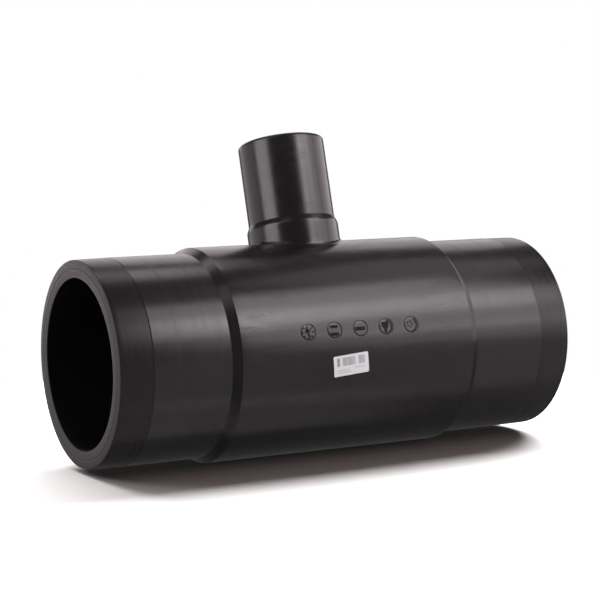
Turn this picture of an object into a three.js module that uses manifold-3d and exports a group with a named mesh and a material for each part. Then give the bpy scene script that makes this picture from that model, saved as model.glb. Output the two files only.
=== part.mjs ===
// Reducing tee of black polyethylene for a large pressure main: a thick moulded barrel, two
// plain run spigots, a much smaller branch spigot and a paper label.
// Millimetres, +Z up. The run lies along X, the branch stands up along Z, and the marked side
// faces -Y. The barrel rests on Z = 0.

import * as THREE from 'three';
import { mergeVertices } from 'three/addons/utils/BufferGeometryUtils.js';
import Module from 'manifold-3d';

const wasm = await Module();
wasm.setup();

// Run spigots
const runDiameter = 250;
const runWall = 22.7;
const overallLength = 625;
const endZoneLength = 42; // stretch at the mouth that is turned once more
const endZoneDepth = 0.4; // how far that stretch lies under the spigot's own surface
const runEdge = 1; // chamfer on both edges of a run mouth

// Barrel
const barrelStep = 6.8; // from the spigot's surface out to the barrel's
const barrelLength = 322; // at full diameter, between the shoulders
const shoulderLength = 10.6;

// Branch
const branchDiameter = 110;
const branchWall = 10;
const branchReach = 265.7; // run axis to the branch's mouth
const branchEdgeRadius = 4.5;
const branchBoreEdge = 1;
const collarStep = 3.3; // from the spigot's surface out to the collar's
const collarHeight = 28.2; // barrel's crown to the joint on top of the collar
const collarChamfer = 7.5;
const rootFillet = 4; // where the collar grows out of the barrel

// Round mould marks, in a row at mid-height
const markCount = 5;
const markPitch = 36;
const markDiameter = 20.5;
const markDepth = 0.9; // of the ring groove, below the barrel's surface
const dialDiameter = 17.7; // the face inside the groove
const dialHeight = 0.6; // of that face, above the groove's floor

// Label
const labelLength = 48;
const labelHeight = 25;
const labelCorner = 1.5;
const labelThickness = 0.3;
const labelGap = 0.1; // film of glue
const labelOffset = -15.4; // along the run, from the branch's axis
const labelDrop = 18.4; // degrees below the row of marks
const labelTurn = 4.7; // degrees, its +X end up

// Facets. The first two counts are multiples of four, so a flat faces each axis direction, and
// the barrel lies on one without rolling.
const aroundRun = 48;
const aroundBranch = 48;
const aroundMark = 32;
const arcSteps = 6;

// What follows from them
const runRadius = runDiameter / 2;
const runBoreRadius = runRadius - runWall;
const barrelRadius = runRadius + barrelStep;
const bodyReach = barrelLength / 2 + shoulderLength; // branch axis to a run joint
const branchRadius = branchDiameter / 2;
const branchBoreRadius = branchRadius - branchWall;
const collarRadius = branchRadius + collarStep;
const collarTop = barrelRadius + collarHeight; // run axis to the branch joint
const axisHeight = barrelRadius * Math.cos(Math.PI / aroundRun);
const past = 5; // how far a cutting shape runs past what it cuts

// Materials
const mouldedBlack = { color: 0x1b1b1d, roughness: 0.36, metalness: 0 };
const turnedBlack = { color: 0x1d1c1e, roughness: 0.46, metalness: 0 };
const labelWhite = { color: 0xebebeb, roughness: 0.6, metalness: 0 };

// An outline of [radius, height] pairs turned about Y, with flats facing the axis directions
function turned(outline, around) {
  const points = outline.map(([radius, height]) => new THREE.Vector2(radius, height));
  return new THREE.LatheGeometry(points, around, Math.PI / around);
}

function rod(radius, from, to, around) {
  return turned([[0, from], [radius, from], [radius, to], [0, to]], around);
}

// From about Y to about X or Z
function alongX(geometry) {
  return geometry.rotateZ(-Math.PI / 2);
}

function alongZ(geometry) {
  return geometry.rotateX(Math.PI / 2);
}

// Points of an outline on an arc, angles in radians from the radius direction
function arc([radius, height], size, from, to) {
  const points = [];
  for (let step = 0; step <= arcSteps; step++) {
    const angle = from + (to - from) * step / arcSteps;
    points.push([radius + size * Math.cos(angle), height + size * Math.sin(angle)]);
  }
  return points;
}

function solid(geometry) {
  const bare = geometry.clone();
  bare.deleteAttribute('normal');
  bare.deleteAttribute('uv');
  const merged = mergeVertices(bare, 1e-4);
  const index = merged.index.array;
  const corners = [];
  for (let at = 0; at < index.length; at += 3) {
    const [a, b, c] = index.slice(at, at + 3);
    if (a !== b && b !== c && c !== a) corners.push(a, b, c); // leaves out slivers on the axis
  }
  return new wasm.Manifold(new wasm.Mesh({
    numProp: 3,
    vertProperties: merged.attributes.position.array,
    triVerts: Uint32Array.from(corners),
  }));
}

function toGeometry(manifold) {
  const { vertProperties, triVerts } = manifold.getMesh();
  const geometry = new THREE.BufferGeometry();
  geometry.setAttribute('position', new THREE.BufferAttribute(vertProperties, 3));
  geometry.setIndex(new THREE.BufferAttribute(triVerts, 1));
  geometry.computeVertexNormals();
  return geometry;
}

function named(name, geometry, finish) {
  const mesh = new THREE.Mesh(geometry, new THREE.MeshStandardMaterial(finish));
  mesh.name = name;
  return mesh;
}

// Tee body, about the crossing of the run's and the branch's axes

function barrel() {
  const half = barrelLength / 2;
  return solid(alongX(turned([
    [0, -bodyReach],
    [runRadius, -bodyReach],
    [barrelRadius, -half],
    [barrelRadius, half],
    [runRadius, bodyReach],
    [0, bodyReach],
  ], aroundRun)));
}

function collar() {
  return solid(alongZ(turned([
    [0, 0],
    [collarRadius, 0],
    [collarRadius, collarTop - collarChamfer],
    [branchRadius, collarTop],
    [0, collarTop],
  ], aroundBranch)));
}

// The fillet is turned as if the barrel were flat, then each point is lifted by the height of
// the barrel's round surface under it.
function collarRoot() {
  const foot = collarRadius + rootFillet;
  const geometry = alongZ(turned([
    [0, -past],
    [foot, -past],
    ...arc([foot, rootFillet], rootFillet, -Math.PI / 2, -Math.PI),
    [0, rootFillet],
  ], aroundBranch));
  const position = geometry.attributes.position;
  for (let i = 0; i < position.count; i++) {
    const surface = Math.sqrt(barrelRadius ** 2 - position.getY(i) ** 2);
    position.setZ(i, position.getZ(i) + surface);
  }
  return solid(geometry);
}

// One mark's ring groove, cut from the -Y side, with its face sunk a little too
function markCutter(x) {
  const floor = barrelRadius - markDepth;
  const recess = solid(rod(markDiameter / 2, floor, barrelRadius + past, aroundMark));
  const dial = solid(rod(dialDiameter / 2, floor - past, floor + dialHeight, aroundMark));
  return recess.subtract(dial).rotate([180, 0, 0]).translate([x, 0, 0]);
}

function teeBody() {
  const runBore = solid(alongX(rod(runBoreRadius, -bodyReach - past, bodyReach + past, aroundRun)));
  const branchBore = solid(alongZ(rod(branchBoreRadius, 0, collarTop + past, aroundBranch)));
  let body = barrel().add(collar()).add(collarRoot()).subtract(runBore).subtract(branchBore);
  for (let i = 0; i < markCount; i++) {
    body = body.subtract(markCutter((i - (markCount - 1) / 2) * markPitch));
  }
  return named('tee_body', toGeometry(body), mouldedBlack);
}

// Spigots, each standing on its joint with the mouth up +Y

function runSpigot(name) {
  const reach = overallLength / 2 - bodyReach;
  const zoneRadius = runRadius - endZoneDepth;
  const zoneStart = reach - endZoneLength;
  const geometry = turned([
    [runBoreRadius, 0],
    [runRadius, 0],
    [runRadius, zoneStart - endZoneDepth],
    [zoneRadius, zoneStart],
    [zoneRadius, reach - runEdge],
    [zoneRadius - runEdge, reach],
    [runBoreRadius + runEdge, reach],
    [runBoreRadius, reach - runEdge],
    [runBoreRadius, 0],
  ], aroundRun);
  return named(name, geometry, turnedBlack);
}

function branchSpigot() {
  const reach = branchReach - collarTop;
  const edgeCentre = [branchRadius - branchEdgeRadius, reach - branchEdgeRadius];
  const geometry = turned([
    [branchBoreRadius, 0],
    [branchRadius, 0],
    ...arc(edgeCentre, branchEdgeRadius, 0, Math.PI / 2),
    [branchBoreRadius + branchBoreEdge, reach],
    [branchBoreRadius, reach - branchBoreEdge],
    [branchBoreRadius, 0],
  ], aroundBranch);
  return named('branch_spigot', geometry, mouldedBlack);
}

// Label, bent over the barrel's own facets

function roundedRectangle(width, height, corner) {
  const right = width / 2;
  const top = height / 2;
  const shape = new THREE.Shape();
  shape.moveTo(corner - right, -top);
  shape.lineTo(right - corner, -top);
  shape.absarc(right - corner, corner - top, corner, -Math.PI / 2, 0);
  shape.lineTo(right, top - corner);
  shape.absarc(right - corner, top - corner, corner, 0, Math.PI / 2);
  shape.lineTo(corner - right, top);
  shape.absarc(corner - right, top - corner, corner, Math.PI / 2, Math.PI);
  shape.lineTo(-right, corner - top);
  shape.absarc(corner - right, corner - top, corner, Math.PI, Math.PI * 1.5);
  return shape;
}

function barcodeLabel() {
  const inside = barrelRadius + labelGap;
  const sheet = turned([
    [inside, -labelLength],
    [inside + labelThickness, -labelLength],
    [inside + labelThickness, labelLength],
    [inside, labelLength],
    [inside, -labelLength],
  ], aroundRun);
  const outline = roundedRectangle(labelLength, labelHeight, labelCorner);
  const cutter = new THREE.ExtrudeGeometry(outline, {
    depth: barrelRadius * 2,
    bevelEnabled: false,
    curveSegments: arcSteps,
  });
  cutter.rotateZ(THREE.MathUtils.degToRad(labelTurn));
  cutter.rotateX(THREE.MathUtils.degToRad(90 + labelDrop));
  const label = solid(alongX(sheet)).intersect(solid(cutter));
  return named('barcode_label', toGeometry(label), labelWhite);
}

// Assembly

const tee = new THREE.Group();
tee.position.z = axisHeight;

const leftSpigot = runSpigot('run_spigot_left');
leftSpigot.position.x = -bodyReach;
leftSpigot.rotation.z = Math.PI / 2;

const rightSpigot = runSpigot('run_spigot_right');
rightSpigot.position.x = bodyReach;
rightSpigot.rotation.z = -Math.PI / 2;

const topSpigot = branchSpigot();
topSpigot.position.z = collarTop;
topSpigot.rotation.x = Math.PI / 2;

const label = barcodeLabel();
label.position.x = labelOffset;

tee.add(teeBody(), leftSpigot, rightSpigot, topSpigot, label);

const model = new THREE.Group();
model.add(tee);

export default model;
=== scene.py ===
# Black polyethylene reducing tee: a thick barrel with two plain run spigots, a small branch
# spigot on top and a paper label. Shapes are made in millimetres about the crossing of the two
# axes, then put in the frame's metres by atCrossing.
import math

import bmesh
import bpy
from mathutils import Matrix, Vector


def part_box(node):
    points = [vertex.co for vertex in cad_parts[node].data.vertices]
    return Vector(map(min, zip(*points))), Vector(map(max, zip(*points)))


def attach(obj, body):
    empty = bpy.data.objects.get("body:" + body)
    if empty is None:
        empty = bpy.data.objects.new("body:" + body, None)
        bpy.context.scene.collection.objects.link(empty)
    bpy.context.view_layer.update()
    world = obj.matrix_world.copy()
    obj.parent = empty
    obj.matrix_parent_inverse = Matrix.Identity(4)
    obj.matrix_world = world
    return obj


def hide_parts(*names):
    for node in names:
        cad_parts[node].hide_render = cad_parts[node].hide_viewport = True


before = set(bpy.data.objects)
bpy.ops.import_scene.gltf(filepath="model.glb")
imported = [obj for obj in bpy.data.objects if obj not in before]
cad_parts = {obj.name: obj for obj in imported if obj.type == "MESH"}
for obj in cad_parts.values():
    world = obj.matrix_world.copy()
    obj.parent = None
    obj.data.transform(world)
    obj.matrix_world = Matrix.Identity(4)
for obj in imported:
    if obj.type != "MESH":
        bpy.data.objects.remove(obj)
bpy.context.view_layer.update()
print("frame loaded:", sorted(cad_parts))

# the frame's round walls have flat sides, so a box over two flats is a little under the diameter
flatSides = 48
flatShare = math.cos(math.pi / flatSides)


def boxMm(node):
    low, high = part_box(node)
    return low * 1000, high * 1000


bodyLow, bodyHigh = boxMm("tee_body")
runLow, runHigh = boxMm("run_spigot_right")
branchLow, branchHigh = boxMm("branch_spigot")

barrelRadius = (bodyHigh.y - bodyLow.y) / 2 / flatShare
runRadius = (runHigh.y - runLow.y) / 2 / flatShare
branchRadius = (branchHigh.y - branchLow.y) / 2 / flatShare
axisHeight = -bodyLow.z + barrelRadius * flatShare
bodyReach = bodyHigh.x  # crossing to a run joint
runReach = runHigh.x  # crossing to a run mouth
collarTop = branchLow.z - axisHeight
branchReach = branchHigh.z - axisHeight
crossing = Vector((0, 0, axisHeight / 1000))
atCrossing = Matrix.Translation(crossing) @ Matrix.Scale(0.001, 4)

walls = dict(run=22.7, branch=10.0)
runBore = runRadius - walls["run"]
branchBore = branchRadius - walls["branch"]


# small makers of meshes

def newShell():
    return dict(points=[], faces=[], finishes=[])


def addRow(shell, points):
    first = len(shell["points"])
    shell["points"] += points
    return list(range(first, first + len(points)))


def addFace(shell, corners, finish=0):
    shell["faces"].append(corners)
    shell["finishes"].append(finish)


def bridge(shell, rowA, rowB, finish=0):
    count = len(rowA)
    for i in range(count):
        j = (i + 1) % count
        addFace(shell, (rowA[i], rowA[j], rowB[j], rowB[i]), finish)


def between(start, end, count):
    return [start + (end - start) * i / count for i in range(count + 1)]


def arcPoints(centre, radius, fromDeg, toDeg, count):
    turns = [math.radians(a) for a in between(fromDeg, toDeg, count)]
    return [(centre[0] + radius * math.cos(a), centre[1] + radius * math.sin(a)) for a in turns]


def smoothByAngle(mesh, degrees=32):
    mesh.shade_smooth()
    mesh.set_sharp_from_angle(angle=math.radians(degrees))


def shellObject(name, shell, materials, place=atCrossing):
    mesh = bpy.data.meshes.new(name)
    mesh.from_pydata(shell["points"], [], shell["faces"])
    mesh.polygons.foreach_set("material_index", shell["finishes"])
    work = bmesh.new()
    work.from_mesh(mesh)
    bmesh.ops.delete(work, geom=[v for v in work.verts if not v.link_faces], context="VERTS")
    bmesh.ops.remove_doubles(work, verts=work.verts, dist=1e-4)
    bmesh.ops.recalc_face_normals(work, faces=work.faces)
    work.to_mesh(mesh)
    work.free()
    mesh.transform(place)
    for material in materials:
        mesh.materials.append(material)
    smoothByAngle(mesh)
    piece = bpy.data.objects.new(name, mesh)
    bpy.context.scene.collection.objects.link(piece)
    return piece


# a closed outline of (along, radius, finish of the stretch that follows) turned about the run
def turnAboutRun(outline, side, count=240):
    shell = newShell()
    rows = []
    turns = [2 * math.pi * i / count for i in range(count)]
    for along, radius, _ in outline:
        rows.append(addRow(shell, [(side * along, radius * math.cos(a), radius * math.sin(a))
                                   for a in turns]))
    for i, (_, _, finish) in enumerate(outline):
        bridge(shell, rows[i], rows[(i + 1) % len(rows)], finish)
    return shell


# materials

def newMaterial(name, **settings):
    material = bpy.data.materials.new(name)
    material.use_nodes = True
    nodes = material.node_tree.nodes
    shader = nodes["Principled BSDF"]
    for socket, value in settings.items():
        shader.inputs[socket.replace("_", " ")].default_value = value
    return material, material.node_tree, shader


def addNode(tree, kind, inputs=None, **settings):
    node = tree.nodes.new(kind)
    for key, value in settings.items():
        setattr(node, key, value)
    for key, value in (inputs or {}).items():
        if isinstance(value, bpy.types.NodeSocket):
            tree.links.new(value, node.inputs[key])
        else:
            node.inputs[key].default_value = value
    return node


def objectPlace(tree, scale=(1, 1, 1), location=(0, 0, 0), turn=(0, 0, 0)):
    coordinates = addNode(tree, "ShaderNodeTexCoord")
    mapping = addNode(tree, "ShaderNodeMapping", {"Vector": coordinates.outputs["Object"], "Scale": scale,
                                                  "Location": location, "Rotation": turn})
    return mapping.outputs["Vector"]


def noise(tree, place, scale, detail=2.0, rough=0.5):
    return addNode(tree, "ShaderNodeTexNoise", {"Vector": place, "Scale": scale, "Detail": detail,
                                                "Roughness": rough}).outputs["Fac"]


def maths(tree, operation, *values):
    return addNode(tree, "ShaderNodeMath", dict(enumerate(values)), operation=operation).outputs[0]


def spread(tree, value, low, high, fromLow=0.3, fromHigh=0.7):
    return addNode(tree, "ShaderNodeMapRange", {"Value": value, "From Min": fromLow, "From Max": fromHigh,
                                                "To Min": low, "To Max": high}).outputs["Result"]


def shades(tree, value, dark, light):
    ramp = addNode(tree, "ShaderNodeValToRGB", {"Fac": value})
    ramp.color_ramp.elements[0].position = 0.3
    ramp.color_ramp.elements[0].color = (*dark, 1)
    ramp.color_ramp.elements[1].position = 0.7
    ramp.color_ramp.elements[1].color = (*light, 1)
    return ramp.outputs["Color"]


def bumps(tree, shader, layers):
    normal = None
    for height, strength, distance in layers:
        inputs = {"Height": height, "Strength": strength, "Distance": distance}
        if normal is not None:
            inputs["Normal"] = normal
        normal = addNode(tree, "ShaderNodeBump", inputs).outputs["Normal"]
    tree.links.new(normal, shader.inputs["Normal"])


# thin scratches where a stretched noise runs through its middle, kept to a few worn patches
def scratches(tree):
    lines = []
    for turn, scale in (((0.3, 0.9, 0.2), 24), ((1.1, 0.2, 0.7), 30)):
        wave = noise(tree, objectPlace(tree, scale=(1, 9, 9), turn=turn), scale)
        fromMiddle = maths(tree, "ABSOLUTE", maths(tree, "SUBTRACT", wave, 0.5))
        lines.append(spread(tree, fromMiddle, 1.0, 0.0, 0.0, 0.006))
    patches = spread(tree, noise(tree, objectPlace(tree), 13), 0.0, 1.0, 0.56, 0.64)
    return maths(tree, "MULTIPLY", maths(tree, "MAXIMUM", *lines), patches)


def mouldedBlack():
    material, tree, shader = newMaterial("mouldedBlack", IOR=1.45)
    cloud = noise(tree, objectPlace(tree), 9, 3)
    grain = noise(tree, objectPlace(tree), 1100, 2)
    swell = noise(tree, objectPlace(tree), 14, 1)
    ripple = noise(tree, objectPlace(tree), 48, 2)
    smear = noise(tree, objectPlace(tree, scale=(1, 3, 3)), 26, 4, 0.6)
    scuffs = scratches(tree)
    worn = maths(tree, "MULTIPLY_ADD", scuffs, 0.10, spread(tree, smear, 0.19, 0.28))
    tree.links.new(shades(tree, cloud, (0.0058, 0.0054, 0.0060), (0.0090, 0.0084, 0.0090)),
                   shader.inputs["Base Color"])
    tree.links.new(worn, shader.inputs["Roughness"])
    bumps(tree, shader, [(swell, 0.25, 0.001), (ripple, 0.15, 0.00015), (grain, 0.06, 0.00006),
                         (scuffs, 0.5, 0.00004)])
    return material


# lathe marks: fine lines round the axis, deeper ones here and there
def turnedBlack(name, rough, lines, shine):
    material, tree, shader = newMaterial(name, IOR=shine)
    cloud = noise(tree, objectPlace(tree), 8, 3)
    hairlines = noise(tree, objectPlace(tree, scale=(420, 0.6, 0.6)), 1, 2, 0.6)
    passes = noise(tree, objectPlace(tree, scale=(95, 0.8, 0.8)), 1, 3, 0.6)
    swell = noise(tree, objectPlace(tree), 12, 1)
    tree.links.new(shades(tree, cloud, (0.0090, 0.0084, 0.0090), (0.0135, 0.0125, 0.0132)),
                   shader.inputs["Base Color"])
    tree.links.new(spread(tree, passes, rough - 0.03, rough + 0.04), shader.inputs["Roughness"])
    bumps(tree, shader, [(swell, 0.12, 0.001), (passes, 0.02 * lines, 0.0005),
                         (hairlines, 0.13 * lines, 0.00012)])
    return material


# end faces carry rings about the run's axis, from the facing tool
def facedBlack():
    material, tree, shader = newMaterial("facedBlack", IOR=1.3)
    fromAxis = objectPlace(tree, location=-crossing)
    parts = addNode(tree, "ShaderNodeSeparateXYZ", {"Vector": fromAxis})
    flat = addNode(tree, "ShaderNodeCombineXYZ", {"Y": parts.outputs["Y"], "Z": parts.outputs["Z"]})
    radius = addNode(tree, "ShaderNodeVectorMath", {0: flat.outputs["Vector"]}, operation="LENGTH")
    rings = addNode(tree, "ShaderNodeTexNoise", {"W": radius.outputs["Value"], "Scale": 700, "Detail": 3},
                    noise_dimensions="1D").outputs["Fac"]
    bands = addNode(tree, "ShaderNodeTexNoise", {"W": radius.outputs["Value"], "Scale": 160, "Detail": 2},
                    noise_dimensions="1D").outputs["Fac"]
    specks = noise(tree, objectPlace(tree), 600, 3)
    tree.links.new(shades(tree, bands, (0.008, 0.0074, 0.008), (0.021, 0.0198, 0.021)),
                   shader.inputs["Base Color"])
    tree.links.new(spread(tree, bands, 0.42, 0.56), shader.inputs["Roughness"])
    bumps(tree, shader, [(rings, 0.5, 0.00012), (specks, 0.15, 0.00005)])
    return material


# the bore is the same black as the body; its darker colour here is painted shade, for the shade deep inside
# the pipe
def boreBlackPaintedShade():
    material, tree, shader = newMaterial("boreBlackPaintedShade", IOR=1.15)
    cloud = noise(tree, objectPlace(tree), 12, 3)
    tree.links.new(shades(tree, cloud, (0.0016, 0.0015, 0.0016), (0.0030, 0.0028, 0.0030)),
                   shader.inputs["Base Color"])
    tree.links.new(spread(tree, cloud, 0.5, 0.62), shader.inputs["Roughness"])
    bumps(tree, shader, [(noise(tree, objectPlace(tree), 500, 2), 0.1, 0.0001)])
    return material


# the marks' faces are dull, as a spark-eroded mould insert leaves them
def dullBlack():
    material, tree, shader = newMaterial("dullBlack", IOR=1.18)
    grit = noise(tree, objectPlace(tree), 2500, 2)
    tree.links.new(shades(tree, grit, (0.007, 0.0065, 0.007), (0.012, 0.011, 0.012)),
                   shader.inputs["Base Color"])
    tree.links.new(spread(tree, grit, 0.5, 0.65), shader.inputs["Roughness"])
    bumps(tree, shader, [(grit, 0.4, 0.00008)])
    return material


def labelPaper():
    material, tree, shader = newMaterial("labelPaper", IOR=1.45)
    fibre = noise(tree, objectPlace(tree, scale=(1, 2, 2)), 1400, 4)
    tree.links.new(shades(tree, fibre, (0.46, 0.485, 0.50), (0.53, 0.555, 0.57)),
                   shader.inputs["Base Color"])
    tree.links.new(spread(tree, fibre, 0.45, 0.6), shader.inputs["Roughness"])
    bumps(tree, shader, [(fibre, 0.15, 0.00003)])
    return material


def labelInk():
    material, tree, shader = newMaterial("labelInk", IOR=1.45)
    patchy = noise(tree, objectPlace(tree), 2200, 3)
    tree.links.new(shades(tree, patchy, (0.10, 0.10, 0.11), (0.22, 0.22, 0.23)),
                   shader.inputs["Base Color"])
    tree.links.new(spread(tree, patchy, 0.4, 0.55), shader.inputs["Roughness"])
    return material


moulded, faced = mouldedBlack(), facedBlack()
turned = turnedBlack("turnedBlack", 0.24, 1.0, 1.44)
scraped = turnedBlack("scrapedBlack", 0.27, 0.4, 1.29)
scrapedLess = turnedBlack("scrapedLessBlack", 0.27, 0.35, 1.34)
paintedShadeBore, dull = boreBlackPaintedShade(), dullBlack()
paper, ink = labelPaper(), labelInk()
print("materials made")


# tee body: a grid of rows along the run and lines round it, with a patch where the branch grows
# out and one under each mark
body = dict(
    shoulderLength=10.6, shoulderRound=0.5, shoulderFoot=0.8,
    branchHole=85, branchHoleDeg=36, patchRows=9,
    rootFillet=4.0, boreRound=3.0,
    collarStep=3.3, collarChamfer=7.5, collarRound=11.0,
    lineStep=2.0,
)
marks = dict(
    count=5, pitch=36.0, diameter=20.5, hole=13.0, holeDeg=6.0, cells=16, patchRows=4,
    depth=0.55, faceDiameter=18.3, faceDepth=0.2, edge=0.3,
)


def crown(radius, x, y, lift=0.0):  # a point over the top line
    return (x, y, math.sqrt(radius ** 2 - y ** 2) + lift)


def front(radius, x, z, lift=0.0):  # a point before the front line
    return (x, -math.sqrt(radius ** 2 - z ** 2) - lift, z)


def markCentres():
    half = (marks["count"] - 1) / 2
    return [(i - half) * marks["pitch"] for i in range(marks["count"])]


def linesRound():
    step, hole = body["lineStep"], marks["holeDeg"]
    coarse = [-180 + step * i for i in range(int(360 / step))]
    fine = between(90 - hole, 90 + hole, marks["cells"])
    return sorted([a for a in coarse if abs(a - 90) > hole] + fine)


# the outer outline as (x, radius), from the left joint to the right one
def bodyOutline():
    length, rounding = body["shoulderLength"], body["shoulderRound"]
    rise = barrelRadius - runRadius
    slope = math.degrees(math.atan2(rise, length))
    corner = bodyReach - length
    tangent = rounding * math.tan(math.radians(slope / 2))
    turn = arcPoints((corner - tangent, barrelRadius - rounding), rounding, 90 - slope, 90, 6)
    fillet = body["shoulderFoot"]
    foot = arcPoints((bodyReach, runRadius + fillet), fillet, 270, 270 - slope, 4)
    back = fillet * math.tan(math.radians(slope / 2))
    foot = [(x - back, radius) for x, radius in foot]
    shoulder = [(bodyReach, runRadius)] + foot + turn  # right joint to the barrel
    reach = marks["hole"]
    xs = between(-(corner - tangent), markCentres()[0] - reach, 8)[1:]
    for i, centre in enumerate(markCentres()):
        xs += between(centre - reach, centre + reach, marks["cells"])[1:]
        if i + 1 < marks["count"]:
            xs += between(centre + reach, markCentres()[i + 1] - reach, 3)[1:]
    xs += between(markCentres()[-1] + reach, corner - tangent, 8)[1:-1]
    left = [(-x, radius) for x, radius in shoulder]
    return left + [(x, barrelRadius) for x in xs] + shoulder[::-1]


def nearest(values, wanted):
    return min(range(len(values)), key=lambda i: abs(values[i] - wanted))


def holeEdge(i0, i1, j0, j1):
    return ([(i, j0) for i in range(i0, i1)] + [(i1, j) for j in range(j0, j1)]
            + [(i, j1) for i in range(i1, i0, -1)] + [(i0, j) for j in range(j1, j0, -1)])


# rows that lead from a hole's straight edge to a circle on the same surface
def patchRows(flatEdge, radius, count):
    rows = []
    for step in range(1, count + 1):
        share = step / count
        share = share * share * (3 - 2 * share)
        row = []
        for u, v in flatEdge:
            angle = math.atan2(v, u)
            row.append((u + (radius * math.cos(angle) - u) * share,
                        v + (radius * math.sin(angle) - v) * share))
        rows.append(row)
    return rows


def addMark(shell, edge, flatEdge, centre):
    outer, face, cut = marks["diameter"] / 2, marks["faceDiameter"] / 2, marks["edge"]
    angles = [math.atan2(v, u) for u, v in flatEdge]
    row = edge
    for flat in patchRows(flatEdge, outer + cut, marks["patchRows"]):
        new = addRow(shell, [front(barrelRadius, centre + u, v) for u, v in flat])
        bridge(shell, row, new)
        row = new
    outline = [(outer, -cut * 0.6, 0), (outer - cut * 0.5, -marks["depth"], 0),
               (face + cut, -marks["depth"], 0), (face, -marks["faceDepth"] - cut * 0.5, 0),
               (face - cut, -marks["faceDepth"], 0)]
    outline += [(radius, -marks["faceDepth"], 0) for radius in between(face - cut, 1, 5)[1:]]
    for radius, lift, finish in outline:
        new = addRow(shell, [front(barrelRadius, centre + radius * math.cos(a), radius * math.sin(a), lift)
                             for a in angles])
        bridge(shell, row, new, finish)
        row = new
    middle = addRow(shell, [front(barrelRadius, centre, 0, -marks["faceDepth"])])[0]
    for i in range(len(row)):
        addFace(shell, (row[i], row[(i + 1) % len(row)], middle))


def addBranch(shell, edge, flatEdge, boreEdge, boreFlatEdge):
    collar = branchRadius + body["collarStep"]
    fillet, inner = body["rootFillet"], body["boreRound"]
    angles = [math.atan2(v, u) for u, v in flatEdge]
    row = edge

    def ring(pointOf, finish=0):
        nonlocal row
        new = addRow(shell, [pointOf(math.cos(a), math.sin(a)) for a in angles])
        bridge(shell, row, new, finish)
        row = new

    for flat in patchRows(flatEdge, collar + fillet, body["patchRows"]):
        new = addRow(shell, [crown(barrelRadius, u, v) for u, v in flat])
        bridge(shell, row, new)
        row = new
    for radius, lift in arcPoints((collar + fillet, fillet), fillet, 270, 180, 7)[1:]:
        ring(lambda c, s: crown(barrelRadius, radius * c, radius * s, lift))
    # the collar's outline, as (radius, height), with both ends of its chamfer rounded
    low, rounding = collarTop - body["collarChamfer"], body["collarRound"]
    lean = math.degrees(math.atan2(body["collarStep"], body["collarChamfer"]))
    tangent = rounding * math.tan(math.radians(lean / 2))
    bend = arcPoints((collar - rounding, low - tangent), rounding, 0, lean, 5)
    for share in between(0, 1, 5)[1:-1]:
        ring(lambda c, s: (collar * c, collar * s,
                           crown(barrelRadius, 0, collar * s, fillet)[2] * (1 - share) + bend[0][1] * share))
    for radius, height in bend + [(branchRadius, collarTop)]:
        ring(lambda c, s: (radius * c, radius * s, height))
    ring(lambda c, s: (branchBore * c, branchBore * s, collarTop))
    for share in between(0, 1, 8)[1:-1]:
        ring(lambda c, s: (branchBore * c, branchBore * s,
                           collarTop * (1 - share) + crown(runBore, 0, branchBore * s, inner)[2] * share), 1)
    for radius, lift in arcPoints((branchBore + inner, inner), inner, 180, 270, 5):
        ring(lambda c, s: crown(runBore, radius * c, radius * s, lift), 1)
    back = patchRows(boreFlatEdge, branchBore + inner, body["patchRows"])[:-1]
    for flat in back[::-1]:
        new = addRow(shell, [crown(runBore, u, v) for u, v in flat])
        bridge(shell, row, new, 1)
        row = new
    bridge(shell, row, boreEdge, 1)


def makeBody():
    shell = newShell()
    outline, lines = bodyOutline(), linesRound()
    turns = [math.radians(a) for a in lines]

    def wall(radiusOf):
        return [addRow(shell, [(x, -radiusOf(r) * math.sin(a), radiusOf(r) * math.cos(a)) for a in turns])
                for x, r in outline]

    outer, inner = wall(lambda r: r), wall(lambda r: runBore)
    xs = [x for x, _ in outline]
    reach, deg = body["branchHole"], body["branchHoleDeg"]
    branchHole = (nearest(xs, -reach), nearest(xs, reach), nearest(lines, -deg), nearest(lines, deg))
    markHoles = [(nearest(xs, c - marks["hole"]), nearest(xs, c + marks["hole"]),
                  nearest(lines, 90 - marks["holeDeg"]), nearest(lines, 90 + marks["holeDeg"]))
                 for c in markCentres()]

    def fill(grid, holes, finish):
        for i in range(len(outline) - 1):
            for j in range(len(lines)):
                if any(i0 <= i < i1 and j0 <= j < j1 for i0, i1, j0, j1 in holes):
                    continue
                k = (j + 1) % len(lines)
                addFace(shell, (grid[i][j], grid[i + 1][j], grid[i + 1][k], grid[i][k]), finish)

    fill(outer, [branchHole] + markHoles, 0)
    fill(inner, [branchHole], 1)
    for end in (0, -1):
        bridge(shell, outer[end], inner[end])
    edge = holeEdge(*branchHole)
    addBranch(shell, [outer[i][j] for i, j in edge],
              [(xs[i], -barrelRadius * math.sin(turns[j])) for i, j in edge],
              [inner[i][j] for i, j in edge],
              [(xs[i], -runBore * math.sin(turns[j])) for i, j in edge])
    for hole, centre in zip(markHoles, markCentres()):
        edge = holeEdge(*hole)
        addMark(shell, [outer[i][j] for i, j in edge],
                [(xs[i] - centre, barrelRadius * math.cos(turns[j])) for i, j in edge], centre)
    return shellObject("teeBody", shell, [moulded, paintedShadeBore])


teeBody = makeBody()
print("body made:", len(teeBody.data.polygons), "faces")


# run spigots: turned outside, faced at the mouth, with a finer zone next to the mouth
run = dict(
    zoneLength=42, zoneDepth=0.25, toeIn=0.35, zoneEdge=0.5,
    edge=0.9, boreEdge=1.2,
    grooveAt=12.2, grooveWidth=1.6, grooveDepth=0.25,
    support=0.6,  # rows this near an edge keep the shading flat up to it
)


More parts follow.
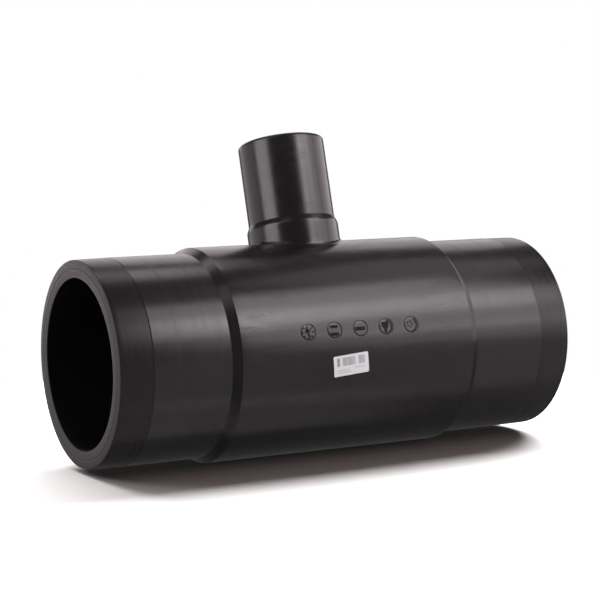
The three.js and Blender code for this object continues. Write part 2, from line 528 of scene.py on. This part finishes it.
def makeRunSpigot(name, side, zoneFinish):
    zone = runReach - run["zoneLength"]
    outer = runRadius - run["zoneDepth"] - run["toeIn"]
    groove = runBore + run["grooveAt"]
    half = run["grooveWidth"] / 2
    outline = [(bodyReach, runBore, 0), (bodyReach, runRadius, 0)]
    stepTop = zone - run["zoneEdge"]
    outline += [(x, runRadius, 0) for x in between(bodyReach + run["support"], stepTop - run["support"], 10)]
    outline += [(stepTop, runRadius, 3), (zone, runRadius - run["zoneDepth"], 3)]
    for share in [0.015] + between(0.1, 1, 6):  # the mouth draws in a little as it cools
        outline.append((zone + (run["zoneLength"] - run["edge"]) * share,
                        runRadius - run["zoneDepth"] - run["toeIn"] * share ** 2, 3))
    outline += [(x, radius, 1) for x, radius in
                arcPoints((runReach - run["edge"], outer - run["edge"]), run["edge"], 90, 0, 4)[1:]]
    outline += [(runReach, groove + half, 1), (runReach - run["grooveDepth"], groove + half * 0.6, 1),
                (runReach - run["grooveDepth"], groove - half * 0.6, 1), (runReach, groove - half, 1)]
    inside = run["boreEdge"]
    outline += [(x, radius, 2) for x, radius in
                arcPoints((runReach - inside, runBore + inside), inside, 0, -90, 4)]
    outline += [(x, runBore, 2) for x in between(runReach - inside, bodyReach, 8)[1:-1]]
    return shellObject(name, turnAboutRun(outline, side), [turned, faced, paintedShadeBore, zoneFinish])


leftSpigot = makeRunSpigot("leftSpigot", -1, scraped)
rightSpigot = makeRunSpigot("rightSpigot", 1, scrapedLess)
print("run spigots made")


# branch spigot: as moulded, with a round outer lip
branch = dict(lip=4.5, boreEdge=1.0)


def makeBranchSpigot():
    lip, edge = branch["lip"], branch["boreEdge"]
    outline = [(collarTop, branchBore, 0)]
    outline += [(z, branchRadius, 0) for z in between(collarTop, branchReach - lip, 14)]
    outline += [(z, radius, 0) for z, radius in
                arcPoints((branchReach - lip, branchRadius - lip), lip, 90, 0, 8)[1:]]
    outline += [(z, radius, 1) for z, radius in
                arcPoints((branchReach - edge, branchBore + edge), edge, 0, -90, 4)]
    outline += [(z, branchBore, 1) for z in between(branchReach - edge, collarTop, 8)[1:-1]]
    upright = atCrossing @ Matrix.Rotation(-math.pi / 2, 4, "Y")
    return shellObject("branchSpigot", turnAboutRun(outline, 1, 160), [moulded, paintedShadeBore], upright)


branchSpigot = makeBranchSpigot()
print("branch spigot made")


# from a flat drawing (right, up, out) to the barrel, at a place along it and an angle below the marks
def bendOn(mesh, offset, drop, turn=0.0):
    cos, sin = math.cos(math.radians(turn)), math.sin(math.radians(turn))
    for vertex in mesh.vertices:
        u, v, lift = vertex.co
        x = offset + u * cos - v * sin
        angle = (u * sin + v * cos) / barrelRadius - math.radians(drop)
        radius = barrelRadius + lift
        vertex.co = (x, -radius * math.cos(angle), radius * math.sin(angle))
    mesh.transform(atCrossing)


# Geometry Nodes: a new tree with named inputs, and the end that both trees share
def newTree(name, **kinds):
    tree = bpy.data.node_groups.new(name, "GeometryNodeTree")
    for socket, kind in kinds.items():
        tree.interface.new_socket(socket, in_out="INPUT", socket_type="NodeSocket" + kind)
    tree.interface.new_socket("Geometry", in_out="OUTPUT", socket_type="NodeSocketGeometry")
    return tree, addNode(tree, "NodeGroupInput").outputs


def endTree(tree, placed, finish):
    solid = addNode(tree, "GeometryNodeRealizeInstances", {"Geometry": placed.outputs["Instances"]})
    coloured = addNode(tree, "GeometryNodeSetMaterial", {"Geometry": solid.outputs["Geometry"],
                                                         "Material": finish})
    addNode(tree, "NodeGroupOutput", {"Geometry": coloured.outputs["Geometry"]})
    return tree


# a row of upright bars, each with its own random width
def barRowTree():
    tree, given = newTree("barRow", Count="Int", Length="Float", Height="Float", Thickness="Float",
                          Thin="Float", Thick="Float", Seed="Int", Finish="Material")
    start = addNode(tree, "ShaderNodeCombineXYZ", {"X": maths(tree, "MULTIPLY", given["Length"], -0.5)})
    end = addNode(tree, "ShaderNodeCombineXYZ", {"X": maths(tree, "MULTIPLY", given["Length"], 0.5)})
    line = addNode(tree, "GeometryNodeMeshLine", mode="END_POINTS")
    tree.links.new(given["Count"], line.inputs["Count"])
    tree.links.new(start.outputs[0], line.inputs["Start Location"])
    tree.links.new(end.outputs[0], line.inputs["Offset"])
    size = addNode(tree, "ShaderNodeCombineXYZ", {"X": 1.0, "Y": given["Height"], "Z": given["Thickness"]})
    bar = addNode(tree, "GeometryNodeMeshCube", {"Size": size.outputs[0], "Vertices Y": 9})
    width = addNode(tree, "FunctionNodeRandomValue", {"Seed": given["Seed"]}, data_type="FLOAT")
    tree.links.new(given["Thin"], width.inputs[2])
    tree.links.new(given["Thick"], width.inputs[3])
    scale = addNode(tree, "ShaderNodeCombineXYZ", {"X": width.outputs[1], "Y": 1.0, "Z": 1.0})
    placed = addNode(tree, "GeometryNodeInstanceOnPoints", {"Points": line.outputs["Mesh"],
                                                            "Instance": bar.outputs["Mesh"],
                                                            "Scale": scale.outputs[0]})
    return endTree(tree, placed, given["Finish"])


barRow = barRowTree()


def plainMesh(tree, **values):
    carrier = bpy.data.objects.new("carrier", bpy.data.meshes.new("carrier"))
    bpy.context.scene.collection.objects.link(carrier)
    modifier = carrier.modifiers.new("made", "NODES")
    modifier.node_group = tree
    sockets = {item.name: item.identifier for item in tree.interface.items_tree if item.in_out == "INPUT"}
    for name, value in values.items():
        modifier[sockets[name]] = value
    evaluated = carrier.evaluated_get(bpy.context.evaluated_depsgraph_get())
    mesh = bpy.data.meshes.new_from_object(evaluated)
    bpy.data.objects.remove(carrier)
    return mesh


def joined(name, meshes, finish):
    work = bmesh.new()
    for mesh in meshes:
        work.from_mesh(mesh)
    for face in work.faces:
        face.material_index = 0
    result = bpy.data.meshes.new(name)
    work.to_mesh(result)
    work.free()
    result.materials.append(finish)
    piece = bpy.data.objects.new(name, result)
    bpy.context.scene.collection.objects.link(piece)
    return piece


# Geometry Nodes: short dashes set round a circle, each pointing to its middle
def dashRingTree():
    tree, given = newTree("dashRing", Count="Int", Radius="Float", Length="Float", Width="Float",
                          Thickness="Float", Finish="Material")
    circle = addNode(tree, "GeometryNodeMeshCircle", {"Vertices": given["Count"],
                                                      "Radius": given["Radius"]})
    size = addNode(tree, "ShaderNodeCombineXYZ", {"X": given["Length"], "Y": given["Width"],
                                                  "Z": given["Thickness"]})
    dash = addNode(tree, "GeometryNodeMeshCube", {"Size": size.outputs[0]})
    place = addNode(tree, "GeometryNodeInputPosition")
    turn = addNode(tree, "FunctionNodeAlignRotationToVector", {"Vector": place.outputs[0]}, axis="X")
    placed = addNode(tree, "GeometryNodeInstanceOnPoints", {"Points": circle.outputs["Mesh"],
                                                            "Instance": dash.outputs["Mesh"],
                                                            "Rotation": turn.outputs[0]})
    return endTree(tree, placed, given["Finish"])


dashRing = dashRingTree()


# a plate with the given outline, in the flat drawing's plane
def plateMesh(outline, thickness, finish):
    work = bmesh.new()
    floorFace = work.faces.new([work.verts.new((u, v, -thickness / 2)) for u, v in outline])
    raised = bmesh.ops.extrude_face_region(work, geom=[floorFace])["geom"]
    for vertex in raised:
        if isinstance(vertex, bmesh.types.BMVert):
            vertex.co.z = thickness / 2
    bmesh.ops.recalc_face_normals(work, faces=work.faces)
    mesh = bpy.data.meshes.new("plate")
    work.to_mesh(mesh)
    work.free()
    mesh.materials.append(finish)
    return mesh


def arcBand(radius, width, fromDeg, toDeg, count):
    outer = arcPoints((0, 0), radius + width / 2, fromDeg, toDeg, count)
    return outer + arcPoints((0, 0), radius - width / 2, fromDeg, toDeg, count)[::-1]


# what stands in each mark: dials, bars and dots that say nothing
figures = dict(
    thickness=0.5,
    arrow=[(-1.1, -6.6), (1.1, -6.6), (1.1, 0.2), (4.4, 0.2), (0, 6.2), (-4.4, 0.2), (-1.1, 0.2)],
    wedge=[(-5.2, 5.6), (4.6, 6.2), (3.4, -1.0), (1.4, -2.0), (1.0, -7.4), (-2.2, -7.0), (-2.6, -1.6),
           (-5.4, 0.2)],
)


def makeFigures():
    thick = figures["thickness"]
    meshes = []

    def put(mesh, mark, right=0.0, up=0.0, turn=0.0):
        mesh.transform(Matrix.Translation((right, up, -marks["faceDepth"]))
                       @ Matrix.Rotation(math.radians(turn), 4, "Z"))
        bendOn(mesh, markCentres()[mark], 0)
        meshes.append(mesh)

    def bars(mark, up, length, height, count, thin, thickest, seed):
        put(plainMesh(barRow, Count=count, Length=length, Height=height, Thickness=thick,
                      Thin=thin, Thick=thickest, Seed=seed, Finish=dull), mark, up=up)

    put(plainMesh(dashRing, Count=8, Radius=7.2, Length=2.2, Width=1.7, Thickness=thick, Finish=dull), 0)
    put(plateMesh(figures["arrow"], thick, dull), 0, turn=14)
    bars(1, 4.6, 8.6, 3.6, 5, 1.4, 2.2, 2)
    bars(1, -4.6, 9.6, 4.0, 6, 1.4, 2.2, 6)
    bars(2, 0.0, 12.4, 4.4, 7, 1.4, 2.1, 4)
    put(plateMesh(figures["wedge"], thick, dull), 3)
    put(plateMesh(arcBand(8.0, 1.3, -75, 80, 18), thick, dull), 3)
    put(plateMesh(arcBand(7.7, 1.5, -80, 60, 18), thick, dull), 4)
    put(plainMesh(dashRing, Count=5, Radius=3.4, Length=1.9, Width=1.9, Thickness=thick, Finish=dull),
        4, -1.4, 1.0)
    return joined("markFigures", meshes, dull)


markFigures = makeFigures()
print("marks made")


# label: a thin sheet bent over the barrel, below the marks, with plain bars and dashes
label = dict(length=48, height=25, corner=1.5, thickness=0.12, lift=0.03,
             offset=-15.4, drop=18.4, turn=4.7, columns=32, rowsUp=20)


def makeLabelSheet():
    shell = newShell()
    halfLength, halfHeight, corner = label["length"] / 2, label["height"] / 2, label["corner"]
    ups = [-halfHeight + corner * (1 - math.cos(a)) for a in between(0, math.pi / 2, 5)]
    ups += between(ups[-1], halfHeight - corner, label["rowsUp"])[1:-1]
    ups += [halfHeight - corner * (1 - math.sin(a)) for a in between(0, math.pi / 2, 5)]
    grids = []
    for out in (label["lift"], label["lift"] + label["thickness"]):
        rows = []
        for v in ups:
            into = max(0.0, abs(v) - (halfHeight - corner))
            reach = halfLength - corner + math.sqrt(max(0.0, corner ** 2 - into ** 2))
            rows.append(addRow(shell, [(u, v, out) for u in between(-reach, reach, label["columns"])]))
        grids.append(rows)
    for rows in grids:
        for lower, upper in zip(rows, rows[1:]):
            for i in range(label["columns"]):
                addFace(shell, (lower[i], lower[i + 1], upper[i + 1], upper[i]))

    def rim(rows):
        return (rows[0][:-1] + [row[-1] for row in rows[:-1]] + rows[-1][:0:-1]
                + [row[0] for row in rows[:0:-1]])

    bridge(shell, rim(grids[0]), rim(grids[1]))
    sheet = shellObject("labelSheet", shell, [paper], Matrix.Identity(4))
    bendOn(sheet.data, label["offset"], label["drop"], label["turn"])
    return sheet


# rows of print on the label, as (centre right, centre up, length, height, bars, thin, thick, seed)
printRows = [
    (-17.6, 4.6, 3.2, 10.0, 5, 0.30, 0.70, 3),
    (-3.2, 4.6, 17.0, 10.0, 24, 0.25, 0.55, 8),
    (14.6, 4.6, 7.5, 10.0, 10, 0.25, 0.60, 5),
    (-12.0, -5.4, 14.0, 0.9, 9, 0.7, 1.3, 11),
    (12.0, -4.2, 13.0, 0.8, 8, 0.7, 1.3, 14),
    (-10.0, -8.2, 18.0, 0.9, 12, 0.7, 1.3, 19),
]


def makePrint():
    meshes = []
    for right, up, length, height, count, thin, thick, seed in printRows:
        mesh = plainMesh(barRow, Count=count, Length=length, Height=height, Thickness=0.06,
                         Thin=thin, Thick=thick, Seed=seed, Finish=ink)
        mesh.transform(Matrix.Translation((right, up, label["lift"] + label["thickness"])))
        bendOn(mesh, label["offset"], label["drop"], label["turn"])
        meshes.append(mesh)
    return joined("labelPrint", meshes, ink)


labelSheet = makeLabelSheet()
labelPrint = makePrint()
print("label made")


# pieces, their bodies and the nodes they stand for
for piece, node, slot in [(teeBody, "tee_body", "moulded_black"),
                          (leftSpigot, "run_spigot_left", "turned_black"),
                          (rightSpigot, "run_spigot_right", "turned_black"),
                          (branchSpigot, "branch_spigot", "moulded_black"),
                          (labelSheet, "barcode_label", "label_white")]:
    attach(piece, "root")
    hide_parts(node)
for piece, slot in [(markFigures, "moulded_black"), (labelPrint, "label_white")]:
    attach(piece, "root")
tee = [teeBody, leftSpigot, rightSpigot, branchSpigot, markFigures, labelSheet, labelPrint]


# floor: pale and plain; the tee lies on it rolled back a little, so it slopes in the tee's own frame
floor = dict(slope=15.0, radius=0.8, colour=(0.80, 0.79, 0.79))


def makeFloor():
    tilt = Matrix.Rotation(math.radians(floor["slope"]), 4, "X")
    foot = crossing - (tilt @ Vector((0, 0, 1))) * barrelRadius / 1000
    work = bmesh.new()
    bmesh.ops.create_circle(work, cap_ends=True, segments=96, radius=floor["radius"])
    mesh = bpy.data.meshes.new("floor")
    work.to_mesh(mesh)
    work.free()
    mesh.transform(Matrix.Translation(foot) @ tilt)
    material, tree, shader = newMaterial("floorPaint", Roughness=0.9, IOR=1.2)
    cloud = noise(tree, objectPlace(tree), 3, 2)
    lighter = tuple(min(1.0, c + 0.01) for c in floor["colour"])
    tree.links.new(shades(tree, cloud, floor["colour"], lighter), shader.inputs["Base Color"])
    mesh.materials.append(material)
    piece = bpy.data.objects.new("floor", mesh)
    bpy.context.scene.collection.objects.link(piece)
    piece.visible_glossy = False  # the tee's underside mirrors a dark room, not the floor
    return piece


stageFloor = makeFloor()


# light: azimuth 0 is in front of the marks and grows to the right. Each lamp lights the tee, its left
# mouth or the floor. The columns are name, azimuth, elevation, distance, width, height, watts, lit.
lamps = [
    ("keyBox", 32, 32, 1.5, 0.78, 0.8, 7.4, "tee"),
    ("rightBox", 41, 15, 1.5, 1.25, 0.82, 9.2, "tee"),
    ("lowFill", 44, -3, 1.5, 1.2, 0.42, 2.8, "tee"),
    ("frontBox", 17, 21, 1.5, 0.34, 0.56, 2.2, "tee"),
    ("sideRight", 92, 12, 1.5, 1.3, 0.9, 7.5, "tee"),
    ("leftBox", -83, 19, 1.5, 0.92, 1.3, 18.5, "tee"),
    ("sideLeft", -142, 13, 1.6, 1.9, 0.95, 5.6, "tee"),
    ("endTop", -160, 24, 0.8, 0.45, 0.3, 1.6, "mouth"),
    ("topStrip", 180, 84, 1.6, 1.2, 0.5, 4.4, "tee"),
    ("backPanel", 160, 42, 1.6, 2, 1, 7.6, "tee"),
    ("lowPanel", 25, -36, 1.5, 1.8, 1.3, 2.9, "tee"),
    ("underGlow", 0, -78, 1.5, 1.8, 1.2, 2.8, "tee"),
    ("highBox", 64, 53, 1.5, 0.7, 0.5, 1, "tee"),
    ("leftHigh", -46, 44, 1.5, 0.5, 0.5, 0.8, "tee"),
    ("overFloor", 162, 69, 4, 4.6, 3.2, 440, "floor"),
    ("floorRight", 95, 40, 2.2, 1, 1, 95, "floor"),
    ("floorLeft", -100, 38, 2.2, 1, 1, 8, "floor"),
]
lampTint = (1.0, 0.915, 0.94)


def towards(azimuth, elevation):
    a, e = math.radians(azimuth), math.radians(elevation)
    return Vector((math.sin(a) * math.cos(e), -math.cos(a) * math.cos(e), math.sin(e)))


def makeLamps():
    groups = {}
    for name, members in (("tee", tee), ("mouth", [leftSpigot]), ("floor", [stageFloor])):
        groups[name] = bpy.data.collections.new(name + "Lit")
        for member in members:
            groups[name].objects.link(member)
    for name, azimuth, elevation, distance, width, height, watts, lit in lamps:
        away = towards(azimuth, elevation)
        data = bpy.data.lights.new(name, "AREA")
        data.shape = "RECTANGLE"
        data.size, data.size_y, data.energy = width, height, watts
        data.color = (1, 1, 1) if lit == "floor" else lampTint
        light = bpy.data.objects.new(name, data)
        light.location = crossing + away * distance
        light.rotation_euler = (-away).to_track_quat("-Z", "Y").to_euler()
        light.visible_camera = False
        light.light_linking.receiver_collection = groups[lit]
        if lit != "floor":  # the floor stands in no lamp's way
            light.light_linking.blocker_collection = groups["tee"]
        bpy.context.scene.collection.objects.link(light)


def makeWorld():
    world = bpy.data.worlds.new("studio")
    world.use_nodes = True
    world.cycles.sampling_method = "NONE"
    tree = world.node_tree
    tree.nodes.clear()
    path = addNode(tree, "ShaderNodeLightPath").outputs
    seen = addNode(tree, "ShaderNodeBackground", {"Color": (1, 1, 1, 1), "Strength": 1.0})
    mirrored = addNode(tree, "ShaderNodeBackground", {"Color": (1, 0.97, 0.97, 1), "Strength": 0.1})
    soft = addNode(tree, "ShaderNodeBackground", {"Color": (1, 0.80, 0.74, 1), "Strength": 0.16})
    gloss = addNode(tree, "ShaderNodeMixShader", {0: path["Is Glossy Ray"], 1: soft.outputs[0],
                                                  2: mirrored.outputs[0]})
    mixed = addNode(tree, "ShaderNodeMixShader", {0: path["Is Camera Ray"], 1: gloss.outputs[0],
                                                  2: seen.outputs[0]})
    addNode(tree, "ShaderNodeOutputWorld", {"Surface": mixed.outputs[0]})
    bpy.context.scene.world = world


camera = dict(azimuth=-29.04, elevation=-6.26, distance=2.3208, lookAzimuth=-28.96, lookElevation=-7.73,
              roll=-8.06, lens=110.0)


def makeCamera():
    out = towards(camera["azimuth"], camera["elevation"])
    back = towards(camera["lookAzimuth"], camera["lookElevation"])
    data = bpy.data.cameras.new("camera")
    data.lens, data.sensor_width = camera["lens"], 36
    view = bpy.data.objects.new("camera", data)
    roll = Matrix.Rotation(math.radians(camera["roll"]), 4, "Z")
    turn = (-back).to_track_quat("-Z", "Y").to_matrix().to_4x4() @ roll
    view.matrix_world = Matrix.Translation(crossing + out * camera["distance"]) @ turn
    bpy.context.scene.collection.objects.link(view)
    bpy.context.scene.camera = view


makeLamps()
makeWorld()
makeCamera()
bpy.context.scene.view_settings.view_transform = "Standard"
print("stage made")
